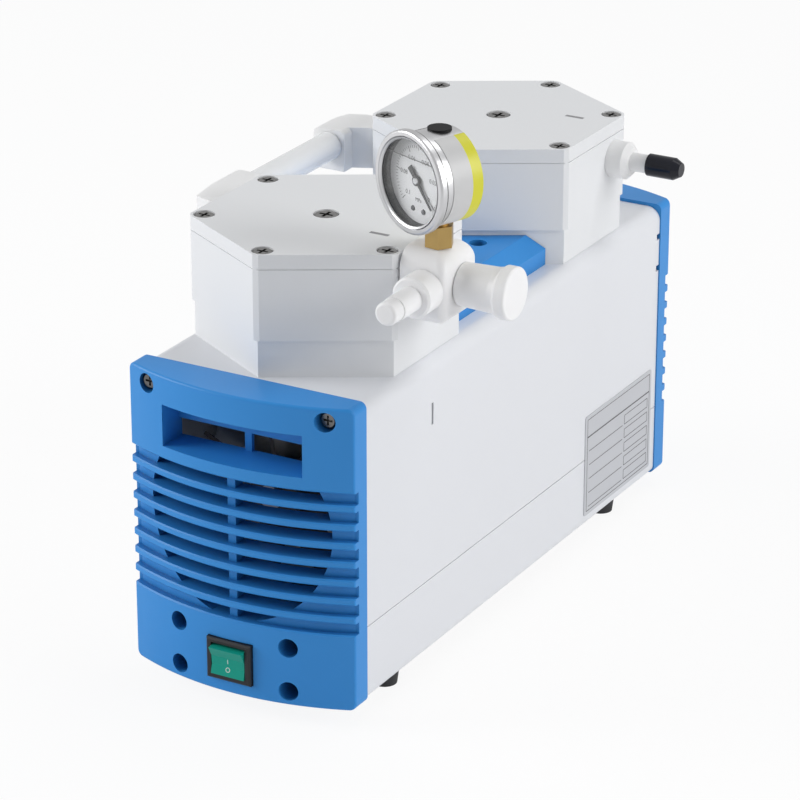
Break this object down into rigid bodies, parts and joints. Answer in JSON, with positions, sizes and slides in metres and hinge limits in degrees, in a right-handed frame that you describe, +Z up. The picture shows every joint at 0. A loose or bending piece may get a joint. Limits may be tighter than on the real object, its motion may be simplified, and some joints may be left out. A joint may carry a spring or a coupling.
{
  "type": "diaphragm vacuum pump",
  "caption": "Oil-free diaphragm vacuum pump: long white casing with blue fluted end panels, six-sided pump heads on top, inlet valve with gauge, hose nozzles and rocker switch.",
  "frame": {"origin": "on the ground, below the middle of the casing", "axes": "+Z up, -Y towards the switch end, +X towards the inlet valve and gauge side"},
  "size_m": [0.1937, 0.361, 0.2811],
  "materials": {
    "panel_blue": "satin moulded",
    "casing_white": "fine matt",
    "head_white": "machined satin",
    "port_white": "smooth",
    "tube_white": "translucent",
    "rubber_black": "matt",
    "cap_black": "glossy",
    "screw_steel": "satin",
    "cast_aluminium": "cast",
    "steel": "ground",
    "lamination_steel": "varnished",
    "winding": "enamelled wire and resin",
    "fan_grey": "matt",
    "capacitor_white": "matt",
    "plate_grey": "matt foil",
    "brass": "turned",
    "bezel_steel": "polished",
    "glass": "clear",
    "dial_white": "matt",
    "pointer_black": "matt",
    "black_plastic": "satin",
    "rocker_green": "glossy translucent",
    "pin_metal": "plated"
  },
  "bodies": {
    "pump_frame": {"bearing_covers": "cast_aluminium", "case_screws": "screw_steel", "centre_cover": "panel_blue", "elbows": "port_white", "end_shields": "cast_aluminium", "exhaust_fitting": "port_white", "front_crankcase": "cast_aluminium", "front_diaphragm": "rubber_black", "front_head": "head_white", "front_head_cover": "head_white", "front_panel": "panel_blue", "gauge_band": "dial_white", "gauge_bezel": "bezel_steel", "gauge_case": "bezel_steel", "gauge_connector": "brass", "gauge_dial": "dial_white", "gauge_fill_plug": "rubber_black", "gauge_lens": "glass", "gauge_movement": "brass", "head_screws": "screw_steel", "inlet_nozzle": "port_white", "inlet_pins": "pin_metal", "lower_casing": "casing_white", "main_bearings": "steel", "motor_bracket": "steel", "nameplate": "plate_grey", "pocket_seals": "rubber_black", "port_gaskets": "rubber_black", "power_inlet": "black_plastic", "rear_crankcase": "cast_aluminium", "rear_diaphragm": "rubber_black", "rear_head": "head_white", "rear_head_cover": "head_white", "rear_panel": "panel_blue", "rubber_feet": "rubber_black", "run_capacitor": "capacitor_white", "stator_core": "lamination_steel", "stator_windings": "winding", "switch_bezel": "black_plastic", "transfer_tube": "tube_white", "upper_casing": "casing_white", "valve_block": "port_white", "valve_bonnet": "port_white", "valve_cages": "port_white", "valve_flaps": "rubber_black"},
    "rotor": {"shaft": "steel", "rotor_core": "lamination_steel", "eccentrics": "steel", "fans": "fan_grey"},
    "front_crank_rod": {"front_rod": "cast_aluminium", "front_crank_bearing": "steel", "front_clamp_disc": "cast_aluminium"},
    "rear_crank_rod": {"rear_rod": "cast_aluminium", "rear_crank_bearing": "steel", "rear_clamp_disc": "cast_aluminium"},
    "rocker": {"switch_rocker": "rocker_green"},
    "stem": {"valve_stem": "port_white"},
    "knob": {"valve_knob": "port_white"},
    "pointer": {"gauge_pointer": "pointer_black"},
    "cap": {"exhaust_cap": "cap_black"}
  },
  "joints": [
    {"name": "shaft_spin", "type": "hinge", "parent": "pump_frame", "child": "rotor", "pos_m": [0, 0, 0.0955], "axis": [0, 1, 0], "continuous": true},
    {"name": "front_rod_pivot", "type": "hinge", "parent": "rotor", "child": "front_crank_rod", "pos_m": [0, -0.0858, 0.0985], "axis": [0, 1, 0], "continuous": true, "deforming": ["front_diaphragm"]},
    {"name": "rear_rod_pivot", "type": "hinge", "parent": "rotor", "child": "rear_crank_rod", "pos_m": [0, 0.0858, 0.0925], "axis": [0, 1, 0], "continuous": true, "deforming": ["rear_diaphragm"]},
    {"name": "switch_rock", "type": "hinge", "parent": "pump_frame", "child": "rocker", "pos_m": [0, -0.1744, 0.0267], "axis": [-1, 0, 0], "range_deg": [0, 14]},
    {"name": "valve_lift", "type": "slide", "parent": "pump_frame", "child": "stem", "axis": [1, 0, 0], "range_m": [0, 0.003]},
    {"name": "knob_turn", "type": "hinge", "parent": "stem", "child": "knob", "pos_m": [0.0807, -0.0987, 0.2044], "axis": [1, 0, 0], "range_deg": [0, 1080]},
    {"name": "pointer_sweep", "type": "hinge", "parent": "pump_frame", "child": "pointer", "pos_m": [0.0702, -0.1032, 0.2567], "axis": [-0.3746, -0.9272, 0], "range_deg": [0, 270]},
    {"name": "cap_pull", "type": "slide", "parent": "pump_frame", "child": "cap", "axis": [1, 0, 0], "range_m": [0, 0.03]}
  ],
  "couplings": [
    {"joint": "front_rod_pivot", "follows": "shaft_spin", "ratio": -1},
    {"joint": "rear_rod_pivot", "follows": "shaft_spin", "ratio": -1},
    {"joint": "valve_lift", "follows": "knob_turn", "m_per_rad": 0.00015915}
  ]
}
